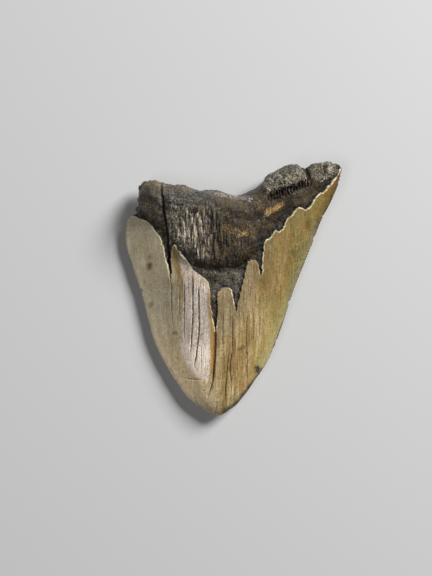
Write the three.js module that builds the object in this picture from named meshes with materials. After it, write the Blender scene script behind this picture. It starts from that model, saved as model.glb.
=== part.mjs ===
// A large fossil shark tooth, lying on its flat labial face with the domed lingual face up.
// Millimetres. +Z is up, +Y runs from the tip to the root and X goes across the cutting edges.
// The origin is on the ground under the middle of the tooth's own box.

import * as THREE from "three";

// Whole tooth
const toothWidth = 109;
const toothLength = 127.8;

// The grid that covers each face: steps across the blade, steps along it, steps round the root rim
const stepsAcross = 42;
const stepsAlong = 46;
const stepsRoundRim = 7;
const rimSpan = 0.075; // the part of the length taken by the rounding at the root's top
const edgeCrowding = 0.45; // 0 spaces the columns evenly, 1 crowds them toward the edges
const sideFade = 2; // how quickly the bends of the two sides die away inside the grid
const endFade = 3; // the same for the bends of the tip and the root's top

// Outline corners
const tipLeft = [-11.6, -63.1];
const tipRight = [-3.6, -62.5];
const rootLeft = [-47.2, 51.6];
const rootRight = [54.4, 60.4];

// Outline between the corners, as points on smooth curves
const tipPoints = [[-7.4, -63.9]];
const leftEdgePoints = [
  [-18.7, -58.2],
  [-24.8, -51.6],
  [-31.8, -41.1],
  [-36.3, -32.4],
  [-39.9, -23.6],
  [-42.5, -13.2],
  [-46, 0.5],
  [-50.4, 12],
  [-54.1, 22.9],
  [-54.4, 28.5],
  [-52.9, 34.8],
  [-49.2, 38.2],
  [-48.5, 44.4],
];
const rightEdgePoints = [
  [1.3, -58.7],
  [6.3, -53.2],
  [10.3, -47.6],
  [14.3, -40.6],
  [18.3, -33.1],
  [24.3, -16.6],
  [29.2, -0.9],
  [33.2, 9.4],
  [38.8, 23],
  [43.3, 34.6],
  [48.9, 44.9],
  [53.1, 53.9],
];
const rootTopPoints = [
  [-45.2, 53.6],
  [-40.8, 54.9],
  [-35.4, 53.3],
  [-29, 52.2],
  [-24.6, 52.3],
  [-19.2, 49.5],
  [-15.3, 49.4],
  [-11.3, 50.1],
  [-4.3, 48.6],
  [3.2, 46.7],
  [8.3, 49.4],
  [13.9, 52.2],
  [18, 57],
  [24.6, 60.7],
  [30.8, 62.2],
  [35.8, 60.4],
  [41.4, 63.8],
  [48.3, 63.5],
  [52.8, 62.9],
];

// Height of the outline above the ground, as [length along the tooth, height]
const bladeEdgeHeight = [
  [-64, 7],
  [-45, 5.4],
  [-10, 5],
  [25, 5.6],
  [40, 8],
  [64, 9],
];

// Height of the lingual face above its outline, down the middle of the tooth
const crownRise = [
  [-64, 0],
  [-62, 2.2],
  [-57, 4.4],
  [-48, 7.4],
  [-34, 10.6],
  [-16, 13],
  [2, 14.2],
  [14, 14.2],
  [30, 13.2],
  [64, 12],
];

// How the crown falls away from its middle, as [fraction of the half width, fraction of the rise]
const crownSection = [
  [-1, 0],
  [-0.78, 0.36],
  [-0.5, 0.75],
  [-0.14, 0.98],
  [0.1, 1],
  [0.5, 0.8],
  [0.78, 0.43],
  [1, 0],
];

// The root's left side is rounded, unlike the cutting edges. It starts above the shoulder.
const shoulderLevel = 36;
const shoulderFade = 6;
const roundSidePower = 5;
const leftSideFull = -0.6; // across the blade, -1 at its left edge: left of this the side is fully round
const leftSideEnd = 0.2; // and right of this it keeps the shape of the crown

// Root swellings and hollows on the lingual face, lengths in mm and the turn in degrees.
// A fall under 1 gives a dome with a steep foot, and one over 1 a bell that fades out.
const torus = { x: -9, y: 38, halfWidth: 29, halfLength: 29, turn: 0, height: 6, fall: 0.62 };
const leftLobe = { x: -40, y: 46, halfWidth: 13, halfLength: 13, turn: 0, height: 3.6, fall: 1 };
const midTop = { x: -18, y: 50, halfWidth: 20, halfLength: 9, turn: -6, height: -2, fall: 1.5 };
const notchHollow = { x: 6, y: 49, halfWidth: 11, halfLength: 10, turn: 20, height: -3, fall: 1.5 };
const rightBody = { x: 30, y: 50, halfWidth: 27, halfLength: 13, turn: 24, height: 3.2, fall: 1 };
const innerKnob = { x: 24, y: 54.5, halfWidth: 13, halfLength: 8.5, turn: 26, height: 3.2, fall: 0.8 };
const outerKnob = { x: 45, y: 58.5, halfWidth: 11, halfLength: 7.5, turn: 14, height: 4, fall: 0.8 };
const swellings = [torus, leftLobe, midTop, notchHollow, rightBody, innerKnob, outerKnob];

// Lower border of the root on the lingual face, where the enamel ends
const neckPoints = [
  [-52, 36.5],
  [-41, 32],
  [-35.5, 21],
  [-31, 9],
  [-20, 8.5],
  [-12.5, 0],
  [-4, -1.5],
  [5, 4],
  [11, 12],
  [19, 26],
  [31, 39.5],
  [44, 48],
  [54, 60],
];
const neckDepth = 1.2;
const neckWidth = 9;
const enamelLip = 3.6;
const neckSamples = 160;

// Depth of the labial face below the outline. The face is cut off flat where it meets the ground.
const labialDepth = [
  [-64, 0],
  [-58, 2.1],
  [-46, 5.4],
  [-34, 6.5],
  [-20, 5.6],
  [0, 4.3],
  [20, 4.7],
  [40, 8.6],
  [64, 10],
];
const labialFullness = 2.6;
const leftFoot = { x: -30, y: 42, halfWidth: 20, halfLength: 15, turn: 0, height: 2, fall: 1.5 };
const rightFoot = { x: 32, y: 47, halfWidth: 21, halfLength: 15, turn: 24, height: 2.8, fall: 1.5 };
const labialHollow = { x: 1, y: 44, halfWidth: 21, halfLength: 22, turn: 0, height: -3.4, fall: 1.5 };
const feet = [leftFoot, rightFoot, labialHollow];

const fossilFinish = { color: 0x8d7a58, roughness: 0.5, metalness: 0 };

function smoothStep(low, high, value) {
  return THREE.MathUtils.smoothstep(value, low, high);
}

function flatCurve(points) {
  const places = points.map(([x, y]) => new THREE.Vector3(x, y, 0));
  return new THREE.CatmullRomCurve3(places, false, "centripetal");
}

// A smooth single-valued graph through [input, output] points
function graph(points) {
  return (input) => {
    const last = points.length - 2;
    const after = points.findIndex(([place]) => place > input);
    const index = after < 0 ? last : Math.max(0, after - 1);
    const slopeAt = (knot) => {
      const before = points[Math.max(0, knot - 1)];
      const next = points[Math.min(points.length - 1, knot + 1)];
      return (next[1] - before[1]) / (next[0] - before[0]);
    };
    const [startPlace, startValue] = points[index];
    const [endPlace, endValue] = points[index + 1];
    const gap = endPlace - startPlace;
    const share = THREE.MathUtils.clamp((input - startPlace) / gap, 0, 1);
    const rest = 1 - share;
    const startPull = rest * rest * share * gap * slopeAt(index);
    const endPull = share * share * rest * gap * slopeAt(index + 1);
    const blend = share * share * (3 - 2 * share);
    return startValue + (endValue - startValue) * blend + startPull - endPull;
  };
}

function swellingAt(swelling, x, y) {
  const centre = new THREE.Vector2(swelling.x, swelling.y);
  const turn = THREE.MathUtils.degToRad(swelling.turn);
  const place = new THREE.Vector2(x, y).sub(centre).rotateAround(new THREE.Vector2(), -turn);
  const reach = Math.hypot(place.x / swelling.halfWidth, place.y / swelling.halfLength);
  return swelling.height * Math.max(0, 1 - reach * reach) ** swelling.fall;
}

function sumAt(list, x, y) {
  return list.reduce((total, swelling) => total + swellingAt(swelling, x, y), 0);
}

const leftEdge = flatCurve([tipLeft, ...leftEdgePoints, rootLeft]);
const rightEdge = flatCurve([tipRight, ...rightEdgePoints, rootRight]);
const tipEdge = flatCurve([tipLeft, ...tipPoints, tipRight]);
const rootTop = flatCurve([rootLeft, ...rootTopPoints, rootRight]);
const neck = flatCurve(neckPoints).getSpacedPoints(neckSamples);
const edgeHeightAt = graph(bladeEdgeHeight);
const crownRiseAt = graph(crownRise);
const crownSectionAt = graph(crownSection);
const labialDepthAt = graph(labialDepth);

// Fractions across the tooth, a little crowded toward both edges
function acrossStations() {
  return Array.from({ length: stepsAcross + 1 }, (_, index) => {
    const even = index / stepsAcross;
    const crowded = (1 - Math.cos(Math.PI * even)) / 2;
    return THREE.MathUtils.lerp(even, crowded, edgeCrowding);
  });
}

// Fractions along the tooth: even on the body, then round the root's top rim by angle.
// Each has the share of full height that the rounding leaves it.
function alongStations() {
  const body = Array.from({ length: stepsAlong + 1 }, (_, index) => ({
    along: (index / stepsAlong) * (1 - rimSpan),
    fullness: 1,
  }));
  const rim = Array.from({ length: stepsRoundRim }, (_, index) => {
    const angle = ((index + 1) / stepsRoundRim) * (Math.PI / 2);
    const along = 1 - rimSpan + rimSpan * Math.sin(angle);
    return { along, fullness: Math.cos(angle) };
  });
  return [...body, ...rim];
}

// How far a curve strays from the straight line between its own ends
function strayAt(curve, share) {
  const straight = curve.getPoint(0).lerp(curve.getPoint(1), share);
  return curve.getPointAt(share).sub(straight);
}

// The four outline curves blended into a sheet: the point at these two fractions of it
function sheetPoint(across, along) {
  const near = tipEdge.getPoint(0).lerp(tipEdge.getPoint(1), across);
  const far = rootTop.getPoint(0).lerp(rootTop.getPoint(1), across);
  return near
    .lerp(far, along)
    .addScaledVector(strayAt(leftEdge, along), (1 - across) ** sideFade)
    .addScaledVector(strayAt(rightEdge, along), across ** sideFade)
    .addScaledVector(strayAt(tipEdge, across), (1 - along) ** endFade)
    .addScaledVector(strayAt(rootTop, across), along ** endFade);
}

// Distance to the neck line, positive on the root's side of it
function neckDistance(x, y) {
  let nearest = Infinity;
  let side = 1;
  for (let index = 1; index < neck.length; index += 1) {
    const start = neck[index - 1];
    const end = neck[index];
    const away = Math.hypot(x - start.x, y - start.y);
    if (away < nearest) {
      nearest = away;
      side = (end.x - start.x) * (y - start.y) - (end.y - start.y) * (x - start.x);
    }
  }
  return side > 0 ? nearest : -nearest;
}

// A channel just above the enamel's lip, fading into the root
function neckChannel(x, y) {
  const distance = neckDistance(x, y);
  const drop = smoothStep(-enamelLip / 2, enamelLip / 2, distance);
  const recovery = smoothStep(enamelLip, neckWidth, distance);
  return -neckDepth * drop * (1 - recovery);
}

// Share of the height kept at a place across the tooth: an arch on the crown, round on the root
function lingualShare(offset, y) {
  const arch = crownSectionAt(offset);
  const round = Math.sqrt(Math.max(0, 1 - Math.abs(offset) ** roundSidePower));
  const rootness = smoothStep(shoulderLevel - shoulderFade, shoulderLevel + shoulderFade, y);
  const leftness = 1 - smoothStep(leftSideFull, leftSideEnd, offset);
  return THREE.MathUtils.lerp(arch, Math.max(arch, round), rootness * leftness);
}

function lingualHeight(across, fullness, x, y) {
  const offset = across * 2 - 1;
  const share = lingualShare(offset, y) * fullness;
  const relief = sumAt(swellings, x, y) + neckChannel(x, y);
  return edgeHeightAt(y) + (crownRiseAt(y) + relief) * share;
}

function labialHeight(across, fullness, x, y) {
  const offset = across * 2 - 1;
  const share = (1 - Math.abs(offset) ** labialFullness) * fullness;
  const depth = labialDepthAt(y) + sumAt(feet, x, y);
  return Math.max(0, edgeHeightAt(y) - depth * share);
}

// Both faces of the tooth share the vertices of the outline
function toothGeometry() {
  const columns = acrossStations();
  const rows = alongStations();
  const lastColumn = columns.length - 1;
  const lastRow = rows.length - 1;
  const positions = [];
  const lingual = [];
  const labial = [];
  rows.forEach(({ along, fullness }, row) => {
    columns.forEach((across, column) => {
      const place = sheetPoint(across, along);
      const onOutline = row === 0 || row === lastRow || column === 0 || column === lastColumn;
      lingual.push(positions.length / 3);
      positions.push(place.x, place.y, lingualHeight(across, fullness, place.x, place.y));
      if (onOutline) {
        labial.push(lingual.at(-1));
        return;
      }
      labial.push(positions.length / 3);
      positions.push(place.x, place.y, labialHeight(across, fullness, place.x, place.y));
    });
  });

  const triangles = [];
  const at = (row, column) => row * columns.length + column;
  const vertex = (cell) => new THREE.Vector3().fromArray(positions, lingual[cell] * 3);
  const lengthBetween = (start, end) => vertex(start).distanceTo(vertex(end));
  for (let row = 0; row < lastRow; row += 1) {
    for (let column = 0; column < lastColumn; column += 1) {
      const near = at(row, column);
      const nearRight = at(row, column + 1);
      const far = at(row + 1, column);
      const farRight = at(row + 1, column + 1);
      const atEnd = row === 0 || row === lastRow - 1;
      const atSide = column === 0 || column === lastColumn - 1;
      const risingLength = lengthBetween(near, farRight);
      const fallingLength = lengthBetween(nearRight, far);
      // The shorter diagonal, but at an outline corner the one that ends there, because the
      // other would give both faces the same triangle
      const towardCorner = column < lastColumn / 2 === row < lastRow / 2;
      const rising = atEnd && atSide ? towardCorner : risingLength < fallingLength;
      const pair = rising
        ? [near, nearRight, farRight, near, farRight, far]
        : [near, nearRight, far, nearRight, farRight, far];
      triangles.push(...pair.map((corner) => lingual[corner]));
      triangles.push(...pair.map((corner) => labial[corner]).reverse());
    }
  }

  const geometry = new THREE.BufferGeometry();
  geometry.setAttribute("position", new THREE.Float32BufferAttribute(positions, 3));
  geometry.setIndex(triangles);
  return geometry;
}

// Scales the outline to the two sizes above and puts the origin under its middle
function fitToSize(geometry) {
  geometry.computeBoundingBox();
  const box = geometry.boundingBox;
  const size = box.getSize(new THREE.Vector3());
  const middle = box.getCenter(new THREE.Vector3());
  geometry.translate(-middle.x, -middle.y, -box.min.z);
  geometry.scale(toothWidth / size.x, toothLength / size.y, 1);
  geometry.computeVertexNormals();
  return geometry;
}

const tooth = new THREE.Mesh(
  fitToSize(toothGeometry()),
  new THREE.MeshStandardMaterial(fossilFinish),
);
tooth.name = "tooth";

const part = new THREE.Group();
part.name = "megalodon_tooth";
part.add(tooth);

export default part;
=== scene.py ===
import math
from functools import reduce

import bmesh
import bpy
import numpy as np
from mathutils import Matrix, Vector
from mathutils.bvhtree import BVHTree


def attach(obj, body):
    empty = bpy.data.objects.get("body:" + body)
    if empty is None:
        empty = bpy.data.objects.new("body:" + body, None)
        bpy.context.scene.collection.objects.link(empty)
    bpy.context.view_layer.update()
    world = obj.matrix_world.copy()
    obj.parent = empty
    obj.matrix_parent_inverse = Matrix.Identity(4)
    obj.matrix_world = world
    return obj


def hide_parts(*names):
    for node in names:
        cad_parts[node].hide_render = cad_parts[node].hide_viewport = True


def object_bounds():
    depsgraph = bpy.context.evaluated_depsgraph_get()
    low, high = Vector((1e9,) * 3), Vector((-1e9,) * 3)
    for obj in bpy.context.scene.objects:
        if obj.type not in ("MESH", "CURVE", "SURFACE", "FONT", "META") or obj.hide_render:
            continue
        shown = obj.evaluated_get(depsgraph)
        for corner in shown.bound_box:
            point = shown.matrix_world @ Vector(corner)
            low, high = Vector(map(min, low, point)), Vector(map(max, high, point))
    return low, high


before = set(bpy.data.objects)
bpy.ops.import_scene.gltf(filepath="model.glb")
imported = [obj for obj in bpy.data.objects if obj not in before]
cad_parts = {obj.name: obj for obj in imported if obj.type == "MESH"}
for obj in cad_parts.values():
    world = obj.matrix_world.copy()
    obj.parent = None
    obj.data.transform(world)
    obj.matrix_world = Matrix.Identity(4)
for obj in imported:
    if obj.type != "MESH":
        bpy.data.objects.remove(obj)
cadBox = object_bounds()
scene = bpy.context.scene
mm = 0.001


# small helpers


def hexColour(code):
    parts = [int(code[i : i + 2], 16) / 255 for i in (0, 2, 4)]
    linear = [p / 12.92 if p <= 0.04045 else ((p + 0.055) / 1.055) ** 2.4 for p in parts]
    return (*linear, 1)


def newNode(tree, kind, inputs=None, **settings):
    made = tree.nodes.new(kind)
    count = len(tree.nodes)
    made.location = (count % 12 * 200, -(count // 12) * 260)
    for name, value in settings.items():
        setattr(made, name, value)
    for key, value in (inputs or {}).items():
        if isinstance(value, bpy.types.NodeSocket):
            tree.links.new(value, made.inputs[key])
        else:
            made.inputs[key].default_value = value
    return made


def treeOf(*values):
    # the node tree that the first socket among the values is in
    return next(value.id_data for value in values if isinstance(value, bpy.types.NodeSocket))


def calc(operation, *values):
    inputs = dict(enumerate(values))
    return newNode(treeOf(*values), "ShaderNodeMath", inputs, operation=operation).outputs[0]


def fade(value, low, high, start=0.0, end=1.0):
    sockets = {"Value": value, "From Min": low, "From Max": high, "To Min": start, "To Max": end}
    made = newNode(value.id_data, "ShaderNodeMapRange", sockets, interpolation_type="SMOOTHSTEP")
    return made.outputs["Result"]


def total(*values):
    return reduce(lambda first, second: calc("ADD", first, second), values)


def times(*values):
    return reduce(lambda first, second: calc("MULTIPLY", first, second), values)


def vectorCalc(operation, first, second):
    key = "Scale" if operation == "SCALE" else 1
    inputs = {0: first, key: second}
    tree = treeOf(first, second)
    return newNode(tree, "ShaderNodeVectorMath", inputs, operation=operation).outputs[0]


def stretch(vector, scale):
    return vectorCalc("MULTIPLY", vector, scale)


def noise(vector, scale, detail=3.0, roughness=0.55, distortion=0.0):
    sockets = {
        "Vector": vector,
        "Scale": scale,
        "Detail": detail,
        "Roughness": roughness,
        "Distortion": distortion,
    }
    return newNode(vector.id_data, "ShaderNodeTexNoise", sockets).outputs[0]


def cells(vector, scale):
    sockets = {"Vector": vector, "Scale": scale}
    return newNode(vector.id_data, "ShaderNodeTexVoronoi", sockets).outputs["Distance"]


def flatPlace(place):
    parts = newNode(place.id_data, "ShaderNodeSeparateXYZ", {0: place}).outputs
    return parts["X"], parts["Y"]


def smoothBetween(values, low, high):
    share = np.clip((values - low) / (high - low), 0, 1)
    return share * share * (3 - 2 * share)


# camera, floor and light

studio = {  # metres and watts
    "viewHeight": 0.288,  # of the ground, from the top of the view to the bottom
    "lens": 85,  # mm
    "aimX": -0.08,  # fractions of the tooth's width and length from its middle
    "aimY": 0.003,
    "floorColour": "d7d7d7",
    "floorSize": 3,
    "floorRoughness": 0.85,
    "floorSpecular": 0.2,
    "skyStrength": 0.04,
    "keyPower": 44.5,
    "keyAim": (0.82, 0.72, 0.76),  # direction toward the light
    "keyDistance": 1.8,
    "keyWidth": 0.72,
    "keyHeight": 0.72,
    "softPower": 2.25,
    "softAim": (-0.46, -0.24, 0.85),
    "softDistance": 1.3,
    "softWidth": 0.72,
    "softHeight": 0.36,
}


def makeCamera():
    low, high = (Vector(corner) for corner in cadBox)
    middle = (low + high) / 2
    size = high - low
    camera = bpy.data.cameras.new("camera")
    camera.lens = studio["lens"]
    holder = bpy.data.objects.new("camera", camera)
    halfView = math.atan(camera.sensor_width / 2 / camera.lens)
    away = studio["viewHeight"] / 2 / math.tan(halfView)
    aim = middle + Vector((studio["aimX"] * size.x, studio["aimY"] * size.y, 0))
    holder.location = aim + Vector((0, 0, away))
    scene.collection.objects.link(holder)
    scene.camera = holder


def makeFloor():
    half = studio["floorSize"] / 2
    mesh = bpy.data.meshes.new("floor")
    corners = [(-half, -half, 0), (half, -half, 0), (half, half, 0), (-half, half, 0)]
    mesh.from_pydata(corners, [], [(0, 1, 2, 3)])
    floor = bpy.data.objects.new("floor", mesh)
    scene.collection.objects.link(floor)
    paper = bpy.data.materials.new("palePaper")
    paper.use_nodes = True
    shader = paper.node_tree.nodes["Principled BSDF"]
    shader.inputs["Base Color"].default_value = hexColour(studio["floorColour"])
    shader.inputs["Roughness"].default_value = studio["floorRoughness"]
    shader.inputs["Specular IOR Level"].default_value = studio["floorSpecular"]
    mesh.materials.append(paper)


def addSoftbox(name, power, aim, distance, width, height):
    light = bpy.data.lights.new(name, "AREA")
    light.shape = "RECTANGLE"
    light.energy = power
    light.size = width
    light.size_y = height
    holder = bpy.data.objects.new(name, light)
    toward = Vector(aim).normalized()
    holder.location = toward * distance
    holder.rotation_euler = toward.to_track_quat("Z", "Y").to_euler()
    scene.collection.objects.link(holder)


def lightScene():
    world = bpy.data.worlds.new("studio")
    world.use_nodes = True
    scene.world = world
    sky = world.node_tree.nodes["Background"]
    sky.inputs["Color"].default_value = (1, 1, 1, 1)
    sky.inputs["Strength"].default_value = studio["skyStrength"]
    for name in ("key", "soft"):
        parts = ("Power", "Aim", "Distance", "Width", "Height")
        addSoftbox(name, *(studio[name + part] for part in parts))
    scene.view_settings.view_transform = "Standard"


makeCamera()
makeFloor()
lightScene()
print("studio ready")


# the tooth: where its enamel ends, its cracks, its stains and its painted highlights and shade, in
# mm on the plan of each face

toothSizes = {
    "sharpAngle": 50,  # degrees between faces, above which an edge is a cutting edge
    "coarseLevels": 1,  # subdivision of the mesh that is refined
    "surfaceLevels": 2,  # subdivision of the surface that its points are laid on
    "crownEdge": 1.7,  # mm, longest edge on the crown
    "rootEdge": 0.5,
    "underRootEdge": 0.8,
    "lineEdge": 0.27,  # mm, longest edge beside a border, a crack or a cutting edge
    "lineReach": 0.35,
    "grading": 0.75,  # mm of edge gained for each mm further away
    "allowance": 1.25,  # an edge up to this many times its wanted length isn't halved
    "passes": 3,
    "borderStep": 0.8,  # mm between the points of the ragged borders
    "borderWobble": 0.21,
    "underBorderWobble": 0.22,
    "crackStep": 1.6,
    "crackWobble": 0.07,
    "underCrackWobble": 0.1,
    "crackTaper": 5,  # mm over which a crack narrows toward its ends
    "edgeHighlightWidth": 1.5,
    "slitPitch": 1.5,  # mm between the slits below the knobs
    "seed": 7,
}

lingualBorder = [
    (-58, 37.4), (-52.2, 35.9), (-48.7, 36.1), (-46.7, 34.9), (-43.7, 33.9), (-41.7, 32.6),
    (-40.2, 30.9), (-38.2, 27.9), (-36.7, 25.9), (-35.7, 23.4), (-34.7, 20.4), (-34.2, 17.4),
    (-33.7, 14.4), (-32.7, 11.4), (-32.2, 8.9), (-31.5, 3.5), (-30.9, 8.9), (-31.3, 13.4),
    (-31.3, 17.9), (-30.7, 20.9), (-29.7, 22.1), (-28.2, 20.4), (-26.2, 17.9), (-24.7, 15.4),
    (-23.2, 13.9), (-21.7, 11.9), (-20.2, 9.4), (-18.2, 7.9), (-16.7, 6.9), (-14.7, 5.4),
    (-13.2, 3.9), (-12.2, 1.9), (-11.8, -0.6), (-11.6, -5.6), (-11.2, -9.6), (-10.7, -13.1),
    (-10, -16.6), (-9.1, -21), (-8.3, -16.6), (-8, -10.6), (-8.2, -5.6), (-8.1, -2.1),
    (-6.7, -0.4), (-4.3, 0.6), (-2.3, 0.6), (-0.8, -0.6), (-0.2, -4.1), (0.5, -7.1),
    (1.2, -12.1), (2, -7.1), (3.2, -3.1), (4.2, 1.9), (4.8, 4.4), (5.3, 6.4), (6.3, 10.4),
    (7.2, 13.4), (8.8, 14.4), (11.3, 13.9), (12.6, 11.4), (13.5, 5.4), (14.2, 8.4),
    (14.3, 13.4), (14.8, 18.4), (15.2, 21.9), (15.8, 23.4), (18.2, 25.6), (19.8, 27.9),
    (21, 29.4), (21.8, 28.9), (22.8, 28.4), (24.2, 29.4), (24.8, 30.9), (25.7, 32.9),
    (26.7, 34.9), (28.2, 35.9), (29.8, 37.9), (31.2, 39.9), (32.2, 40.6), (34.2, 40.4),
    (35.8, 39.4), (37.2, 40.1), (38.2, 40.9), (39.2, 42.4), (40.2, 44.4), (41.8, 46.4),
    (43.2, 47.6), (45.2, 48.4), (46.2, 49.4), (47.2, 51.4), (49.2, 52.9), (50.2, 54.4),
    (51.2, 55.9), (52.2, 57.4), (53.2, 58.9), (53.8, 60.4), (56, 65),
]
labialBorder = [
    (-58, 37.4), (-52, 36), (-48, 36.8), (-44, 36.2), (-39, 38.4), (-34, 37.6), (-28, 35.2),
    (-22, 34.4), (-17, 31.6), (-11, 30.6), (-5, 28.6), (0, 29.8), (6, 29.2), (12, 32.4),
    (17, 33.4), (22, 37.8), (28, 39.2), (33, 43.6), (39, 45.8), (44, 50.4), (49, 53.2),
    (53.8, 60.4), (56, 65),
]

# each crack: its width and depth in mm, how dark it is, and its path
cracks = [
    (0.7, 0.6, 0.8, [(-9, -17), (-9, -26.2), (-9.2, -33.9), (-9.9, -39.6), (-10.3, -46.1),
                     (-11.5, -50.3), (-13, -54.1)]),
    (0.5, 0.5, 0.7, [(-2.5, -31), (-3, -37.7), (-3.4, -43.4), (-4, -49.2), (-4.2, -57)]),
    (0.45, 0.4, 0.7, [(-0.4, -14), (-0.5, -30), (-1.9, -40), (-1.2, -45.3), (-1.1, -52.5)]),
    (0.5, 0.35, 0.7, [(6.7, -12), (6.5, -26.2), (6.9, -37.7), (6.9, -46)]),
    (0.45, 0.25, 0.55, [(10, -10), (10.1, -19), (10, -28)]),
    (0.45, 0.25, 0.5, [(13, -12), (13, -25)]),
    (0.5, 0.3, 0.6, [(-5.3, -9), (-5.4, -20), (-5.3, -31)]),
    (0.7, 0.5, 0.95, [(-17.4, 2.5), (-17.3, -8), (-17.2, -18.6), (-17.8, -26.2), (-18.7, -33.9),
                      (-19.9, -39.5)]),
    (0.62, 0.45, 0.85, [(-20.4, 8), (-20.3, -10.9), (-20.8, -22.4), (-21.6, -33)]),
    (0.45, 0.35, 0.8, [(-24.4, 4), (-24.7, -9), (-24.8, -25)]),
    (0.4, 0.2, 0.4, [(-22.7, 6), (-22.6, -4)]),
    (0.45, 0.2, 0.4, [(-16.2, -28), (-16.2, -40)]),
    (0.4, 0.2, 0.3, [(-14.1, -33), (-14.2, -41)]),
    (0.45, 0.2, 0.4, [(-26.9, 4), (-26.9, -17)]),
    (0.45, 0.25, 0.7, [(-31.5, 5), (-31, -0.6), (-31, -8.1), (-30.8, -17)]),
    (1.3, 1, 1, [(-35.9, 53.5), (-35.6, 47), (-34.6, 38.4), (-33.6, 32.6), (-32.8, 21.1), (-32, 8)]),
    (2, 1.6, 0.7, [(32.4, 63), (34.4, 60.4), (36, 59.2), (37.3, 56.6), (37.8, 53)]),
    (1.8, 1.5, 0.7, [(45.2, 64), (45.4, 59.5), (45.6, 55)]),
    (0.8, 0.2, 0.2, [(-25.5, -44.2), (-21.8, -45.4), (-15.5, -45.8)]),
    (3.4, 0.9, 0.5, [(11.4, -40.2), (16, -40.8)]),
]
labialCracks = [
    (0.6, 0.4, 0.8, [(-13, 27), (-12.4, 12), (-13.2, -4), (-12.5, -19)]),
    (0.5, 0.3, 0.7, [(4, 27), (3.2, 15), (3.6, 1), (3, -9)]),
    (0.5, 0.3, 0.6, [(17, 30), (14.8, 16), (13.5, 6)]),
    (0.5, 0.3, 0.7, [(-31, 33), (-29, 20), (-28.6, 11)]),
]

toothMiddle = (-6, 20)  # mm, where worn edges are pushed toward

# outlines of the pale middle facet, pale partly in its own colour and partly with painted sheen, and
# of the grey strip left of it
paleZone = [
    (-26, 18.5), (-20, 11), (-13, 5), (-10.8, -2), (-10.2, -18), (-10.8, -30), (-11.5, -40),
    (-12.5, -47), (-17, -45), (-22, -40.5), (-25.4, -35), (-27, -28), (-25.5, -18), (-25, -8),
    (-25, 4), (-27.4, 15),
]
greyZone = [
    (-60, 40), (-30, 30), (-31, 16), (-28, 4), (-26, -8), (-25.5, -18), (-26, -28), (-24.5, -34),
    (-21.5, -39), (-17, -43.5), (-12.5, -47), (-8, -56), (-7, -70), (-60, -70),
]

# painted strokes on the upper face: width and soft edge in mm, strength, and path
rustStreaks = [
    (0.9, 0.6, 1, [(-9, -22), (-9.2, -30), (-9.4, -36), (-9.9, -44)]),
    (1.6, 1.6, 0.55, [(-0.7, -15), (-0.7, -23), (-0.7, -32)]),
    (0.8, 0.8, 0.8, [(-0.9, -33), (-1.6, -41)]),
    (0.7, 0.7, 0.6, [(-20.4, 6), (-20.6, -2)]),
    (0.8, 0.9, 0.6, [(-11.7, -3), (-11.2, -14)]),
    (0.6, 0.6, 0.4, [(-27.5, 12), (-25.5, 4), (-25.2, -4)]),
    (1.4, 1.6, 0.42, [(45.5, 46.5), (49.8, 51.6), (52.8, 56.8)]),
    (2, 3, 0.5, [(-33, 40.5), (-27, 40)]),
    (1.6, 2.4, 0.4, [(-34.5, 34.5), (-30, 34)]),
]
fingerTips = [
    (8, 7, 0.55, [(-4, -2), (-4, -16)]),
    (2, 6, 0.4, [(8, 10), (7, -6)]),
]
amberSeams = [
    (0.9, 0.9, 0.6, [(-12.2, -2), (-12, -8), (-11.2, -14)]),
    (1.1, 0.8, 0.9, [(-11, -14), (-10.5, -24), (-10.4, -33), (-10.6, -42)]),
]
goldPatches = [
    (1.4, 2, 0.78, [(16.6, 37.4), (18.2, 38.6)]),
    (0.8, 2.2, 0.75, [(18.2, 38.6), (20.6, 39.6), (24, 42)]),
    (2, 2.6, 0.42, [(-46, 51.6), (-43, 53.6), (-37, 51.8)]),
    (1.6, 2.6, 0.42, [(-33.5, 51), (-28, 50.8), (-22, 48.8)]),
    (1, 4, 0.4, [(-4, 30), (2, 26.4), (7, 27.4)]),
    (0.5, 1.8, 0.7, [(2.4, 26.2), (5.6, 27.4)]),
    (1.2, 2, 0.4, [(-45.5, 42.8), (-41, 40.6), (-37, 38.6)]),
    (0.4, 1.6, 0.5, [(36, 53), (43, 54.5)]),
]
brownSpots = [
    (1.4, 1, 0.9, [(-42, 12.2), (-42.2, 10.8)]),
    (0.9, 0.9, 0.5, [(-42.3, 16), (-42.2, 15.8)]),
    (0.9, 1, 0.55, [(-41.2, -7.6), (-40.6, -7.3)]),
    (0.5, 0.7, 0.7, [(-30.2, -22), (-28.4, -22.3)]),
    (0.7, 0.6, 0.9, [(2.6, -30), (5.2, -29.2)]),
    (1.2, 1.2, 0.7, [(37.2, 33.6), (37.3, 30.4)]),
    (0.9, 1.3, 0.6, [(29.6, 18.6), (30.4, 17.4)]),
]
slitBand = [
    (2.4, 1.6, 1, [(18.6, 44.8), (26.4, 48.2), (36.5, 52.4)]),
]
knobs = [
    (8, 3, 1, [(19, 52.6), (28, 56.8), (32, 57.6)]),
    (6, 3, 1, [(40, 57.6), (50, 60)]),
]
# dark marks along the cutting edge, mostly the lower right, and a nick: partly worn colour, partly
# painted shade where the edge turns under
edgeWearAndShade = [
    (0.8, 1.4, 0.85, [(14, -41.5), (10.4, -47), (6.2, -52.6)]),
    (1.5, 0.9, 0.9, [(7.6, -50.4), (8.6, -49)]),
    (1, 1.9, 0.85, [(6.2, -52.6), (1.2, -58.2), (-4, -62)]),
    (1.7, 0.8, 1, [(11.9, -39.6), (12.4, -41), (13.4, -42.2)]),
    (0.3, 0.7, 0.8, [(24.3, -16.6), (18.4, -33), (14.4, -40.4)]),
    (0.3, 0.8, 0.4, [(-17, -59), (-12, -62.8)]),
]
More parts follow.
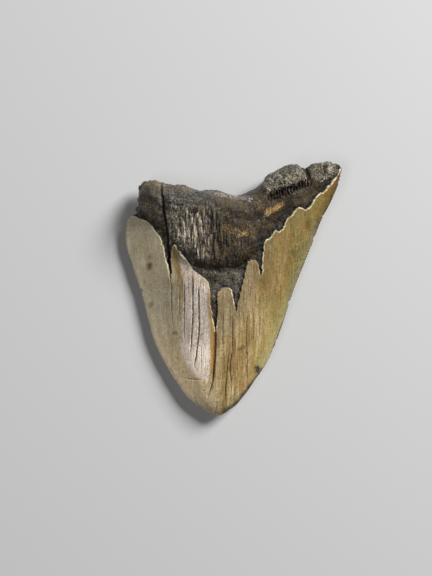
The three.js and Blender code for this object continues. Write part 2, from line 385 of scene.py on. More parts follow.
# painted highlights: pale glints along the root's top rim, on the knobs and over the left ribs
glints = [
    (1.2, 1.6, 1, [(-14, 48.6), (-6, 47), (1, 46), (8, 44.4)]),
    (1, 1.6, 0.9, [(18.6, 53), (21.6, 55.4)]),
    (0.8, 0.9, 1, [(35.6, 53.6), (37, 53.2)]),
    (0.8, 0.9, 1, [(44.6, 54.2), (45.6, 55.4)]),
    (0.8, 1, 1, [(47.8, 60), (48.6, 61)]),
    (5, 5, 0.4, [(-30, 38), (-24, 24)]),
]
# the swelling hangs over a groove along its lower side, which is darkened with painted shadow
undercut = [
    (1.4, 1.9, 1, [(-17.5, 12.2), (-13, 10.4), (-9, 9.5), (-3, 8.9), (3, 9.4), (7, 12)]),
]
# where the root is ribbed from top to bottom
ribbedZone = [
    (-35, 38), (-22, 39), (-10, 39), (-5, 34), (-2, 26), (9, 24), (12, 20), (4, 12), (-6, 10.5),
    (-15, 12.5), (-22, 18), (-31, 28),
]
# the parts of the broken edge that get a painted highlight over the enamel's cream inside, as places
# in the border's list
edgeHighlightSpans = [(4, 14), (20, 24), (36, 39), (45, 48), (60, 94)]

# the upper face's zones, each with the width in mm of its soft edge, and its strokes
zones = {"pale": (paleZone, 5), "grey": (greyZone, 3), "ribbed": (ribbedZone, 7)}
strokeLists = {
    "rust": rustStreaks,
    "finger": fingerTips,
    "amber": amberSeams,
    "gold": goldPatches,
    "brown": brownSpots,
    "knob": knobs,
    "slits": slitBand,
    "glint": glints,
    "edgeWearAndShade": edgeWearAndShade,
    "undercut": undercut,
}


def jitteredPath(points, step, wobble, generator):
    # a broken line through the points, with small random steps to the side
    places = [np.array(points[0], float)]
    for start, end in zip(points, points[1:]):
        start, end = np.array(start, float), np.array(end, float)
        length = np.linalg.norm(end - start)
        count = max(1, round(length / step))
        side = np.array((start[1] - end[1], end[0] - start[0])) / length
        for index in range(1, count + 1):
            shift = generator.normal(0, wobble) if index < count else 0
            places.append(start + (end - start) * index / count + side * shift)
    return np.array(places)


def pathReach(places, path):
    # each place's distance to the path, and how far along it the nearest point is
    starts, ends = path[:-1], path[1:]
    spans = ends - starts
    lengths = np.linalg.norm(spans, axis=1)
    runs = np.concatenate(([0], np.cumsum(lengths)))[:-1]
    nearest = np.full(len(places), np.inf)
    along = np.zeros(len(places))
    for start, span, length, run in zip(starts, spans, lengths, runs):
        away = places - start
        share = np.clip(away @ span / length**2, 0, 1)
        distance = np.linalg.norm(away - share[:, None] * span, axis=1)
        closer = distance < nearest
        nearest[closer] = distance[closer]
        along[closer] = (run + share * length)[closer]
    return nearest, along


def nearBox(places, path, margin):
    low, high = path.min(0) - margin, path.max(0) + margin
    return ((places > low) & (places < high)).all(1)


def insideOutline(places, outline):
    # true where a line to the right crosses the outline an odd number of times
    inside = np.zeros(len(places), bool)
    for (x0, y0), (x1, y1) in zip(outline, np.roll(outline, -1, axis=0)):
        if y0 == y1:
            continue
        crosses = (places[:, 1] > y0) != (places[:, 1] > y1)
        meets = x0 + (places[:, 1] - y0) * (x1 - x0) / (y1 - y0)
        inside ^= crosses & (places[:, 0] < meets)
    return inside


def rootDistance(places, border):
    # mm from the enamel's border, positive on the root
    reach, _ = pathReach(places, border)
    rootOutline = np.vstack((border, [(70, 90), (-70, 90)]))
    return np.where(insideOutline(places, rootOutline), reach, -reach)


def creasedTooth():
    # the CAD tooth as quads with its cutting edges creased, and those edges' points in order
    work = bmesh.new()
    work.from_mesh(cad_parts["tooth"].data)
    bmesh.ops.remove_doubles(work, verts=work.verts, dist=0.001 * mm)
    bmesh.ops.join_triangles(
        work, faces=work.faces, angle_face_threshold=math.pi, angle_shape_threshold=math.pi
    )
    crease = work.edges.layers.float.new("crease_edge")
    limit = math.radians(toothSizes["sharpAngle"])
    rimPlaces = {}
    for edge in work.edges:
        if edge.calc_face_angle(0) > limit:
            edge[crease] = 1
            rimPlaces.update({vertex.index: vertex.co.copy() for vertex in edge.verts})
    mesh = bpy.data.meshes.new("creasedTooth")
    work.to_mesh(mesh)
    work.free()
    inOrder = sorted(rimPlaces.values(), key=lambda place: math.atan2(place.x, place.y))
    return mesh, np.array([place[:] for place in inOrder]) / mm


def plainMesh(thing, name):
    # the object's mesh with its modifiers in it; the object is removed
    graph = bpy.context.evaluated_depsgraph_get()
    mesh = bpy.data.meshes.new_from_object(
        thing.evaluated_get(graph), preserve_all_data_layers=True, depsgraph=graph
    )
    mesh.name = name
    bpy.data.objects.remove(thing)
    return mesh


def subdivided(mesh, levels, name):
    body = bpy.data.objects.new(name, mesh)
    scene.collection.objects.link(body)
    modifier = body.modifiers.new("smooth", "SUBSURF")
    modifier.levels = modifier.render_levels = levels
    return plainMesh(body, name)


def wantedEdge(places, upness, lines):
    # mm, the longest edge wanted at each place
    top = upness > 0
    plan = places[:, :2]
    reach = pathReach(places, lines["rim"])[0]
    widest = np.full(len(places), float(toothSizes["crownEdge"]))
    crackMargin = toothSizes["crownEdge"] / toothSizes["grading"]
    for face, border, paths, rootEdge in (
        (top, "border", "paths", "rootEdge"),
        (~top, "underBorder", "underPaths", "underRootEdge"),
    ):
        distance = rootDistance(plan[face], lines[border])
        reach[face] = np.minimum(reach[face], np.abs(distance))
        widest[face] = np.where(distance > 0, toothSizes[rootEdge], widest[face])
        for path in lines[paths]:
            near = face & nearBox(plan, path, crackMargin)
            reach[near] = np.minimum(reach[near], pathReach(plan[near], path)[0])
    beyond = np.maximum(0, reach - toothSizes["lineReach"])
    return np.minimum(widest, toothSizes["lineEdge"] + toothSizes["grading"] * beyond)


def refine(mesh, lines):
    work = bmesh.new()
    work.from_mesh(mesh)
    bmesh.ops.triangulate(work, faces=work.faces)
    for _ in range(toothSizes["passes"]):
        work.normal_update()
        work.edges.ensure_lookup_table()
        ends = np.array([(*e.verts[0].co, *e.verts[1].co) for e in work.edges]) / mm
        upness = np.array([e.verts[0].normal.z + e.verts[1].normal.z for e in work.edges])
        lengths = np.linalg.norm(ends[:, 3:] - ends[:, :3], axis=1)
        middles = (ends[:, :3] + ends[:, 3:]) / 2
        longest = toothSizes["allowance"] * wantedEdge(middles, upness, lines)
        chosen = np.flatnonzero(lengths > longest)
        edges = [work.edges[i] for i in chosen]
        bmesh.ops.subdivide_edges(work, edges=edges, cuts=1)
        bmesh.ops.triangulate(work, faces=[f for f in work.faces if len(f.verts) > 3])
        # three points in a row can leave two faces back to back; both go, and their middle point
        alike = {}
        for triangle in work.faces:
            alike.setdefault(frozenset(triangle.verts), []).append(triangle)
        doubled = [triangle for group in alike.values() if len(group) > 1 for triangle in group]
        bmesh.ops.delete(work, geom=doubled, context="FACES")
    work.to_mesh(mesh)
    work.free()


def layOnSurface(mesh, surface):
    # moves every point to the nearest place on the smoother surface
    tree = BVHTree.FromPolygons(
        [vertex.co for vertex in surface.vertices], [face.vertices[:] for face in surface.polygons]
    )
    for vertex in mesh.vertices:
        vertex.co = tree.find_nearest(vertex.co)[0]


def setAttribute(mesh, name, values, kind="FLOAT"):
    attribute = mesh.attributes.new(name, kind, "POINT")
    field = "vector" if kind == "FLOAT_VECTOR" else "value"
    attribute.data.foreach_set(field, np.ascontiguousarray(values, np.float32).ravel())


def crackFields(plan, crackList, paths):
    # distance in half widths, darkness of the nearest crack, and depth in mm
    reachField = np.full(len(plan), 4.0)
    tone = np.zeros(len(plan))
    deep = np.zeros(len(plan))
    for (width, depth, darkness, _), path in zip(crackList, paths):
        near = np.flatnonzero(nearBox(plan, path, width * 2))
        reach, along = pathReach(plan[near], path)
        length = np.linalg.norm(np.diff(path, axis=0), axis=1).sum()
        taper = smoothBetween(np.minimum(along, length - along), -1.5, toothSizes["crackTaper"])
        share = reach / (width / 2 * (0.45 + 0.55 * taper))
        closer = share < reachField[near]
        reachField[near[closer]] = share[closer]
        tone[near[closer]] = (darkness * taper)[closer]
        groove = (1 - smoothBetween(share, 0.3, 1.4)) * depth * taper
        deep[near] = np.maximum(deep[near], groove)
    return reachField, tone, deep


def streakField(plan, streaks):
    # soft strokes painted along paths
    mask = np.zeros(len(plan))
    for width, soft, strength, points in streaks:
        path = np.array(points, float)
        half = width / 2
        near = nearBox(plan, path, half + soft)
        reach = pathReach(plan[near], path)[0]
        share = 1 - smoothBetween(reach, half, half + soft)
        mask[near] = np.maximum(mask[near], share * strength)
    return mask


def outlineField(plan, outline, soft):
    closed = np.vstack((outline, outline[:1]))
    reach = pathReach(plan, closed)[0]
    signed = np.where(insideOutline(plan, np.array(outline)), reach, -reach)
    return smoothBetween(signed, -soft / 2, soft / 2)


def makeLines(rim):
    # the borders and cracks of both faces as ragged lines, and the cutting edge
    sizes = toothSizes
    generator = np.random.default_rng(sizes["seed"])
    step, crackStep = sizes["borderStep"], sizes["crackStep"]
    wobble, underWobble = sizes["crackWobble"], sizes["underCrackWobble"]
    return {
        "border": jitteredPath(lingualBorder, step, sizes["borderWobble"], generator),
        "underBorder": jitteredPath(labialBorder, step, sizes["underBorderWobble"], generator),
        "paths": [jitteredPath(points, crackStep, wobble, generator) for *_, points in cracks],
        "underPaths": [
            jitteredPath(points, crackStep, underWobble, generator) for *_, points in labialCracks
        ],
        "rim": rim,
    }


def writeFields(mesh, lines):
    # what the relief and the looks read at each point
    places = np.empty(len(mesh.vertices) * 3)
    mesh.vertices.foreach_get("co", places)
    places = places.reshape(-1, 3) / mm
    top = np.array([normal.vector.z for normal in mesh.vertex_normals]) > 0
    plan = places[:, :2]
    rimReach, rimRun = pathReach(places, lines["rim"])
    inward = np.zeros_like(places)
    inward[:, :2] = toothMiddle - plan
    inward /= np.linalg.norm(inward, axis=1)[:, None]
    setAttribute(mesh, "rimReach", rimReach)
    setAttribute(mesh, "rimRun", rimRun)
    setAttribute(mesh, "inward", inward, "FLOAT_VECTOR")
    above, below = rootDistance(plan, lines["border"]), rootDistance(plan, lines["underBorder"])
    setAttribute(mesh, "rootSide", np.where(top, above, below))
    upper = crackFields(plan, cracks, lines["paths"])
    under = crackFields(plan, labialCracks, lines["underPaths"])
    for name, upperField, underField in zip(("crackReach", "crackTone", "crackDepth"), upper, under):
        setAttribute(mesh, name, np.where(top, upperField, underField))

    width = toothSizes["edgeHighlightWidth"]
    brightStrokes = [(width, width, 1, lingualBorder[first:last]) for first, last in edgeHighlightSpans]
    strokes = {**strokeLists, "edgeHighlight": brightStrokes}
    masks = {name: streakField(plan, marks) for name, marks in strokes.items()}
    for name, (outline, soft) in zones.items():
        masks[name] = outlineField(plan, outline, soft)
    for name, mask in masks.items():
        setAttribute(mesh, name, np.where(top, mask, 0))


def makeToothBase():
    quads, rim = creasedTooth()
    lines = makeLines(rim)
    surface = subdivided(quads.copy(), toothSizes["surfaceLevels"], "toothSurface")
    mesh = subdivided(quads, toothSizes["coarseLevels"], "fossilTooth")
    refine(mesh, lines)
    layOnSurface(mesh, surface)
    bpy.data.meshes.remove(surface)
    writeFields(mesh, lines)
    return mesh


# relief: geometry nodes push the smooth surface in and out along its normals,
# and move its outline sideways

reliefSizes = {  # mm
    "Enamel lip": 0.22,  # how far the enamel swells toward its broken edge
    "Root step": 0.6,  # how far the root starts below the enamel
    "Step width": 0.28,
    "Ripple depth": 0.16,
    "Pit depth": 0.12,
    "Fibre depth": 0.6,
    "Grain depth": 0.35,
    "Pore depth": 0.45,
    "Slit depth": 1.1,
    "Lump depth": 1.1,
    "Undercut depth": 0.5,
    "Knob height": 0.7,
    "Serration pitch": 1.5,
    "Serration depth": 0.34,
    "Chip depth": 0.55,
    "Root wear": 1.2,  # how far the root's outline is eaten away between its lumps
    "Rim growth": 1.2,  # how far the outline is let out before it is worn
    "Seed": 7,  # not a size, but the place where the patterns are read
}
patternShift = (13.1, 7.7, 3.3)  # mm that the patterns move for each step of the seed


def named(tree, name, kind="FLOAT"):
    made = newNode(tree, "GeometryNodeInputNamedAttribute", {"Name": name}, data_type=kind)
    return made.outputs["Attribute"]


def centred(value):
    return calc("SUBTRACT", value, 0.5)


def slitWave(place):
    # 1 in the middle of each slit of the band below the knobs
    x, y = flatPlace(place)
    unevenness = times(noise(place, 0.4, 2), 2.6)
    run = total(x, times(y, 0.12), unevenness)
    wave = calc("SINE", times(run, 2 * math.pi / toothSizes["slitPitch"]))
    broken = fade(noise(place, 0.35, 1), 0.3, 0.45)
    return times(fade(wave, -0.5, 0.6, 1, 0), broken)


def crownRelief(given, place, rootSide):
    lip = times(given["Enamel lip"], fade(rootSide, -3, 0))
    broad = noise(stretch(place, (0.22, 0.03, 0.1)), 1, 2)
    narrow = noise(stretch(place, (0.95, 0.09, 0.3)), 1, 2)
    ripples = total(broad, times(narrow, 0.45), -0.72)
    pitted = fade(noise(place, 0.16, 2), 0.5, 0.62)
    pits = times(fade(cells(place, 0.3), 0.08, 0.22, 1, 0), pitted)
    return total(lip, times(ripples, given["Ripple depth"], 2), times(pits, given["Pit depth"], -1))


def rootRelief(tree, given, place, slits):
    knob = named(tree, "knob")
    ribbed = named(tree, "ribbed")
    ribs = noise(stretch(place, (0.9, 0.09, 0.3)), 1, 3, 0.6, 0.3)
    ribs = times(fade(ribs, 0.42, 0.62, -1, 0.3), total(times(ribbed, 0.8), 0.2))
    lumps = fade(cells(place, 0.24), 0.1, 0.85, 0.6, -0.65)
    lumpy = total(0.5, times(knob, 0.1), times(ribbed, -0.4))
    grain = centred(noise(place, 0.62, 4, 0.7))
    pores = fade(cells(place, 0.6), 0.14, 0.4, 1, 0)
    pored = total(knob, fade(noise(place, 0.12, 2), 0.5, 0.7, 0.1, 0.5))
    return total(
        times(given["Root step"], fade(named(tree, "rootSide"), 0.4, 6, -1, 0)),
        times(ribs, given["Fibre depth"]),
        times(lumps, lumpy, given["Lump depth"]),
        times(knob, given["Knob height"]),
        times(grain, given["Grain depth"], 2),
        times(pores, pored, given["Pore depth"], -1),
        times(slits, named(tree, "slits"), given["Slit depth"], -1),
        times(named(tree, "undercut"), given["Undercut depth"], -1),
    )


def edgeWear(tree, given, rimReach):
    # mm inward: serrations at an uneven pitch and a few chips between them
    run = named(tree, "rimRun")
    along = newNode(tree, "ShaderNodeCombineXYZ", {"X": run, "Y": given["Seed"]}).outputs[0]
    unevenness = times(noise(along, 0.35, 1), 2.2)
    phase = calc("DIVIDE", total(run, unevenness), given["Serration pitch"])
    wave = calc("ABSOLUTE", calc("SINE", times(phase, math.pi)))
    kept = fade(noise(along, 0.13, 1), 0.35, 0.6, 0.35, 1)
    notches = times(calc("SUBTRACT", 1, wave), kept, given["Serration depth"])
    broken = fade(noise(along, 0.24, 1), 0.6, 0.72)
    chips = times(broken, given["Chip depth"], fade(rimReach, 0, 1.6, 1, 0))
    return total(times(notches, fade(rimReach, 0, 1.1, 1, 0)), chips)


def rootWear(tree, given, place, rimReach, onRoot):
    # mm inward: the root's outline is eaten away between its lumps, less on the knobs
    lessOnKnobs = total(1, times(named(tree, "knob"), -0.7))
    broad = times(fade(cells(place, 0.21), 0.38, 0.8), lessOnKnobs)
    small = times(fade(cells(place, 0.34), 0.3, 0.75), 0.8)
    eaten = times(total(broad, small), given["Root wear"], onRoot)
    return times(eaten, fade(rimReach, 0, 6, 1, 0))


def rimGrowth(given, millimetres, rimReach, onRoot):
    # mm outward, less on the root and at the two ends and the tip
    x, y = flatPlace(millimetres)
    return times(
        given["Rim growth"],
        fade(rimReach, 0, 9, 1, 0),
        total(1, times(onRoot, -0.4)),
        fade(calc("ABSOLUTE", x), 46, 54, 1, 0.2),
        fade(y, -62, -52, 0, 1),
    )


def reliefInterface(tree):
    face = tree.interface
    for side in ("INPUT", "OUTPUT"):
        face.new_socket("Geometry", in_out=side, socket_type="NodeSocketGeometry")
    for name, value in reliefSizes.items():
        face.new_socket(name, in_out="INPUT", socket_type="NodeSocketFloat").default_value = value
    for name in ("Box low", "Box high"):
        face.new_socket(name, in_out="INPUT", socket_type="NodeSocketVector")
    face.new_socket("Material", in_out="INPUT", socket_type="NodeSocketMaterial")


def buildToothRelief():
    tree = bpy.data.node_groups.new("toothRelief", "GeometryNodeTree")
    reliefInterface(tree)
    given = newNode(tree, "NodeGroupInput").outputs
    position = newNode(tree, "GeometryNodeInputPosition").outputs[0]
    millimetres = stretch(position, (1 / mm, 1 / mm, 1 / mm))
    place = vectorCalc("ADD", millimetres, vectorCalc("SCALE", patternShift, given["Seed"]))
    rootSide = named(tree, "rootSide")
    rimReach = named(tree, "rimReach")
    halfStep = times(given["Step width"], 0.5)
    onRoot = fade(rootSide, times(halfStep, -1), halfStep)
    onCrown = calc("SUBTRACT", 1, onRoot)

    relief = total(
        times(onCrown, crownRelief(given, place, rootSide)),
        times(onRoot, rootRelief(tree, given, place, slitWave(millimetres))),
        times(named(tree, "crackDepth"), -1),
    )
    # the cutting edge stays thin, and the patches that touch the ground stay flat
    height = newNode(tree, "ShaderNodeSeparateXYZ", {0: millimetres}).outputs["Z"]
    edgeShare = fade(rimReach, 0.2, total(2, times(onRoot, -0.9)), 0.15, 1)
    relief = times(relief, edgeShare, fade(height, 0.03, 1.3))
    wear = total(
        times(edgeWear(tree, given, rimReach), onCrown),
        rootWear(tree, given, place, rimReach, onRoot),
        times(rimGrowth(given, millimetres, rimReach, onRoot), -1),
    )

    normal = newNode(tree, "GeometryNodeInputNormal").outputs[0]
    outward = vectorCalc("SCALE", normal, times(relief, mm))
    inward = vectorCalc("SCALE", named(tree, "inward", "FLOAT_VECTOR"), times(wear, mm))
    stored = newNode(
        tree,
        "GeometryNodeStoreNamedAttribute",
        {"Geometry": given["Geometry"], "Name": "relief", "Value": relief},
        data_type="FLOAT",
        domain="POINT",
    )
    moved = newNode(
        tree,
        "GeometryNodeSetPosition",
        {"Geometry": stored.outputs["Geometry"], "Offset": vectorCalc("ADD", outward, inward)},
    )
    # nothing leaves the box of the CAD tooth
    kept = vectorCalc("MINIMUM", position, given["Box high"])
    kept = vectorCalc("MAXIMUM", kept, given["Box low"])
    boxed = newNode(
        tree,
        "GeometryNodeSetPosition",
        {"Geometry": moved.outputs["Geometry"], "Position": kept},
    )
    real = newNode(tree, "GeometryNodeRealizeInstances", {"Geometry": boxed.outputs["Geometry"]})
    finished = newNode(
        tree,
        "GeometryNodeSetMaterial",
        {"Geometry": real.outputs["Geometry"], "Material": given["Material"]},
    )
    newNode(tree, "NodeGroupOutput", {"Geometry": finished.outputs["Geometry"]})
    return tree


def carveTooth(mesh, material):
    body = bpy.data.objects.new("fossilTooth", mesh)
    scene.collection.objects.link(body)
    modifier = body.modifiers.new("relief", "NODES")
    modifier.node_group = buildToothRelief()
    low, high = (tuple(corner) for corner in cadBox)
    values = {**reliefSizes, "Box low": low, "Box high": high, "Material": material}
    for item in modifier.node_group.interface.items_tree:
        if item.name in values:
            modifier[item.identifier] = values[item.name]
    carved = plainMesh(body, "fossilTooth")
    carved.shade_smooth()
    carved.set_sharp_from_angle(angle=math.radians(toothSizes["sharpAngle"]))
    tooth = bpy.data.objects.new("fossilTooth", carved)
    scene.collection.objects.link(tooth)
    return tooth


# looks: one colour, roughness and bump height each for enamel and root, mixed at the border

enamelLook = {
    "ochre": "c0aa7e",
    "ochreDark": "9c8250",
    "olive": "a19055",
    "rightOchre": "ae8c45",
    "rightEdge": "a8a27a",
    "green": "98925c",
    "grey": "cdc0a2",
    "greyDark": "b5a786",
    "greyLow": "dcc297",
    "pale": "efe1d3",
    "paleDark": "c0ac96",
    "honey": "d2b06c",
    "amber": "c79a45",
    "rust": "6e3a14",
    "crackBrown": "3e2f16",
    "spot": "5c4726",
    "paleRim": "d6cfc0",
    "cream": "eadcb6",
    "wornEdgeAndShade": "2c2317",
    "streakWidth": 1.6,  # mm
    "stainStrength": 0.75,
    "brightness": 1.03,
    "grainContrast": 1.7,
    "speckleContrast": 1.4,
    "cloudContrast": 0.4,
    "streakContrast": 0.9,
    "roughness": 0.36,
}

rootLook = {
    "black": "211e19",
    "brown": "463923",
    "wornGrey": "c4baa6",
    "wornBrown": "7d673f",
    "knobGrey": "b9ad8d",
    "ochre": "94723a",
    "rust": "7a5436",
    "gold": "d6ad66",
    "glint": "e6ded0",
    "fineContrast": 1.6,
    "sparkleContrast": 2.2,
    "roughness": 0.33,
}


def mixed(share, *colours):
    first, second = (hexColour(code) if isinstance(code, str) else code for code in colours)
    inputs = {0: share, 6: first, 7: second}
    tree = treeOf(share, first, second)
    return newNode(tree, "ShaderNodeMix", inputs, data_type="RGBA", clamp_factor=True).outputs[2]


def painted(tree, name):
    return newNode(tree, "ShaderNodeAttribute", attribute_name=name).outputs["Fac"]


def shade(colour, brightness):
    return vectorCalc("SCALE", colour, brightness)


def layered(colour, *coats):
    # each coat is how much it covers and its colour
    for share, coat in coats:
        colour = mixed(share, colour, coat)
    return colour


def enamelPatterns(tree, place, rootSide):
    x, y = flatPlace(place)
    streakWidth = enamelLook["streakWidth"]
    return {
        "x": x,
        "y": y,
        "place": place,
        "rootSide": rootSide,
        "rimReach": painted(tree, "rimReach"),
        "pale": painted(tree, "pale"),
        "rust": painted(tree, "rust"),
        "wide": noise(stretch(place, (0.5 / streakWidth, 0.03, 0.05)), 1, 3, 0.6),
        "narrow": noise(stretch(place, (2.4 / streakWidth, 0.12, 0.4)), 1, 4, 0.7),
        "cloud": noise(place, 0.09, 3, 0.6),
        "grain": noise(stretch(place, (1, 0.7, 1)), 1.5, 4, 0.75),
        "speckle": noise(stretch(place, (1, 0.55, 1)), 0.75, 4, 0.75),
        # the right side and the far left are marked less
        "busy": total(fade(x, 6, 20, 1, 0.7), fade(x, -34, -26, -0.35, 0)),
    }


def enamelGround(tree, field):
    # ochre, with a grey strip on the left, made paler with painted fill light, and a pale facet in
    # the middle, partly its own colour and partly painted sheen
    look = enamelLook
    x, y, narrow, pale = (field[name] for name in ("x", "y", "narrow", "pale"))
    ochre = mixed(fade(field["wide"], 0.38, 0.62), look["ochre"], look["ochreDark"])
    olive = times(fade(x, 6, 12), fade(field["rimReach"], 7, 10, 1, 0), 0.8)
    right = times(fade(x, 8, 16), fade(y, -28, 2, 0.15, 0.6))
    # painted fill light: the grey strip's colours are paler than its own
    grey = mixed(fade(field["cloud"], 0.35, 0.65), look["grey"], look["greyDark"])
    grey = mixed(fade(y, -45, -2, 0.8, 0), grey, look["greyLow"])
    # the pale facet's colour, partly its own and partly painted sheen
    paleAndSheen = mixed(fade(narrow, 0.42, 0.62), look["pale"], look["paleDark"])
    facet = total(pale, times(centred(narrow), 0.8))
    upper = times(pale, fade(y, -2, 12), fade(narrow, 0.4, 0.56, 1, 0.2), 0.3)
    facetRim = times(
        fade(facet, 0.1, 0.5),
        fade(facet, 0.5, 0.95, 1, 0),
        fade(y, -42, -30),
        fade(x, -20, -13),
        0.8,
    )
    return layered(
        ochre,
        (olive, look["olive"]),
        (right, look["rightOchre"]),
        (painted(tree, "finger"), look["greyDark"]),
        (painted(tree, "grey"), grey),
        (fade(facet, 0.25, 0.8), paleAndSheen),
        (upper, look["honey"]),
        (facetRim, look["honey"]),
    )


def enamelPits(place):
    small = fade(cells(stretch(place, (0.95, 0.6, 0.95)), 1), 0.1, 0.26, 1, 0)
    large = fade(cells(stretch(place, (0.5, 0.34, 0.5)), 1), 0.07, 0.2, 1, 0)
    return calc(
        "MAXIMUM",
        times(small, fade(noise(place, 0.3, 2), 0.36, 0.58)),
        times(large, fade(noise(place, 0.17, 2), 0.5, 0.6)),
    )


def enamelStains(field, pits, colour):
    # brown streaks down the middle, a paler and greener right side, then pits everywhere
    look = enamelLook
    x, y, place, busy = (field[name] for name in ("x", "y", "place", "busy"))
    middle = times(fade(x, -14, -9), fade(x, 12, 20, 1, 0.45))
    streaks = times(
        fade(noise(stretch(place, (1.1, 0.06, 0.3)), 1, 4, 0.7), 0.5, 0.64),
        middle,
        fade(field["speckle"], 0.4, 0.54, 0.1, 1),
        look["stainStrength"],
    )
    rightEdge = times(fade(x, 8, 16), fade(field["rimReach"], 1, 7, 0.6, 0), fade(y, 26, 42, 1, 0))
    green = times(fade(noise(place, 0.11, 3, 0.6), 0.48, 0.62), fade(x, 6, 20), 0.5)
    pepper = times(
        fade(noise(stretch(place, (1, 0.7, 1)), 1.3, 3, 0.8), 0.56, 0.64),
        fade(x, -30, -10, 0.3, 0.7),
        busy,
    )
    dirt = times(fade(field["rootSide"], -9, -0.6), fade(field["grain"], 0.44, 0.58), 0.65, middle)
    return layered(
        colour,
        (streaks, look["spot"]),
        (rightEdge, look["rightEdge"]),
        (green, look["green"]),
        (times(pits, busy, look["stainStrength"]), look["spot"]),
        (pepper, look["spot"]),
        (dirt, look["spot"]),
    )


def enamelBrightness(field):
    # the upper right is darker and more even; painted shade darkens the rim at the top, painted fill
    # light makes the lower left paler and painted sheen brightens the low part of the pale facet;
    # paler along the left rim and darker towards the tip
    look = enamelLook
    x, y, rimReach, busy = (field[name] for name in ("x", "y", "rimReach", "busy"))
    return total(
        look["brightness"],
        times(centred(field["grain"]), busy, look["grainContrast"]),
        times(centred(field["speckle"]), busy, look["speckleContrast"]),
        times(centred(field["cloud"]), look["cloudContrast"]),
        times(centred(field["narrow"]), look["streakContrast"]),
        times(fade(x, 7, 18), fade(y, -36, 8), -0.38),
        # painted shade along the rim at the top, where the edge turns away, and a little brighter
        # further in
        times(fade(y, 22, 34), fade(rimReach, 1, 5, -0.25, 0.16)),
        # painted fill light: paler towards the bottom, most on the left
        times(fade(y, -50, -4, 0.3, 0), fade(x, -12, 4, 1, 0.7)),
        # painted sheen: the lower part of the pale facet is brightened
        times(field["pale"], fade(y, -34, -22, 0.6, -0.08)),
        fade(y, -60, -50, -0.32, 0),
        times(fade(rimReach, 1.2, 4.5, 0.3, 0), fade(x, -18, -10, 1, 0)),
    )


def enamelCracks(tree, field):
    notched = total(
        painted(tree, "crackReach"),
        times(centred(field["grain"]), 2.2),
        times(centred(field["speckle"]), 2),
    )
    broken = fade(noise(field["place"], 0.8, 3, 0.7), 0.38, 0.54, 0.2, 1)
    return times(fade(notched, 0.55, 1.35, 1, 0), painted(tree, "crackTone"), broken)


def enamelMarks(tree, field, crack, colour):
    # amber and rust in the seams, brown spots and the cracks
    look = enamelLook
    amber = times(painted(tree, "amber"), fade(field["speckle"], 0.36, 0.52, 0.45, 1))
    rust = times(field["rust"], fade(field["grain"], 0.35, 0.6, 0.35, 1))
    crackColour = mixed(times(field["rust"], 0.85), look["crackBrown"], look["rust"])
    return layered(
        colour,
        (amber, look["amber"]),
        (rust, look["rust"]),
        (painted(tree, "brown"), look["spot"]),
        (crack, crackColour),
    )


def enamelEdges(tree, field, colour):
    # the broken edge shows a little of the cream inside all along, with a painted highlight where it
    # faces the light
    # the cutting edge is dark on the right, partly worn colour and partly painted shade, and paler
    # on the left
    look = enamelLook
    x, y, rimReach, grain = (field[name] for name in ("x", "y", "rimReach", "grain"))
    chipped = fade(noise(field["place"], 0.55, 3, 0.7), 0.38, 0.54, 0.1, 1)
    # cream inside, with painted highlights on the listed spans
    bright = times(total(painted(tree, "edgeHighlight"), 0.12), chipped)
    bright = times(fade(field["rootSide"], -0.66, -0.3), bright)
    # worn colour and painted shade along the lower right edge
    worn = times(painted(tree, "edgeWearAndShade"), fade(field["speckle"], 0.34, 0.5, 0.5, 1))
    # painted shade on the right rim, where the blade turns under
    thin = times(fade(rimReach, 0.15, 0.9, 0.5, 0), fade(x, -12, 0))
    paleLeftRim = times(
        fade(rimReach, 0.3, 2.6, 0.8, 0),
        fade(x, -16, -6, 1, 0),
        fade(y, 0, 30, 1, 0.2),
        fade(grain, 0.4, 0.56, 0.4, 1),
    )
    run = newNode(tree, "ShaderNodeCombineXYZ", {"X": painted(tree, "rimRun")}).outputs[0]
    crests = times(
        fade(noise(run, 0.55, 0), 0.5, 0.62),
        fade(x, -20, -8, 1, 0),
        fade(rimReach, 0.4, 1.1, 0.8, 0),
    )
    return layered(
        colour,
        (bright, look["cream"]),
        (calc("MAXIMUM", worn, thin), look["wornEdgeAndShade"]),
        (paleLeftRim, look["paleRim"]),
        (crests, look["cream"]),
    )


def enamel(tree, place, rootSide):
    field = enamelPatterns(tree, place, rootSide)
    pits = enamelPits(place)
    crack = enamelCracks(tree, field)
    colour = enamelStains(field, pits, enamelGround(tree, field))
    colour = shade(colour, enamelBrightness(field))
    colour = enamelEdges(tree, field, enamelMarks(tree, field, crack, colour))
    roughness = total(
        enamelLook["roughness"],
        times(field["pale"], -0.1),
        times(centred(field["speckle"]), 0.4),
        times(pits, 0.25),
        times(crack, 0.4),
    )
    height = total(
        times(field["grain"], 0.13),
        times(field["narrow"], 0.11),
        times(pits, -0.1),
        times(crack, -0.15),
    )
    return colour, roughness, height


def rootPatterns(tree, place, rootSide):
    x, y = flatPlace(place)
    return {
        "x": x,
        "y": y,
        "place": place,
        "rootSide": rootSide,
        "relief": painted(tree, "relief"),
        "knob": painted(tree, "knob"),
        "ribbed": painted(tree, "ribbed"),
        "fibres": noise(stretch(place, (1.6, 0.2, 0.6)), 1, 4, 0.7, 0.4),
        "fine": noise(stretch(place, (3, 0.8, 1.6)), 1, 3, 0.75),
        "cloud": noise(place, 0.075, 3, 0.6),
        "grain": noise(place, 1.1, 5, 0.75),
        "sparkle": noise(place, 1.5, 4, 0.8),
    }


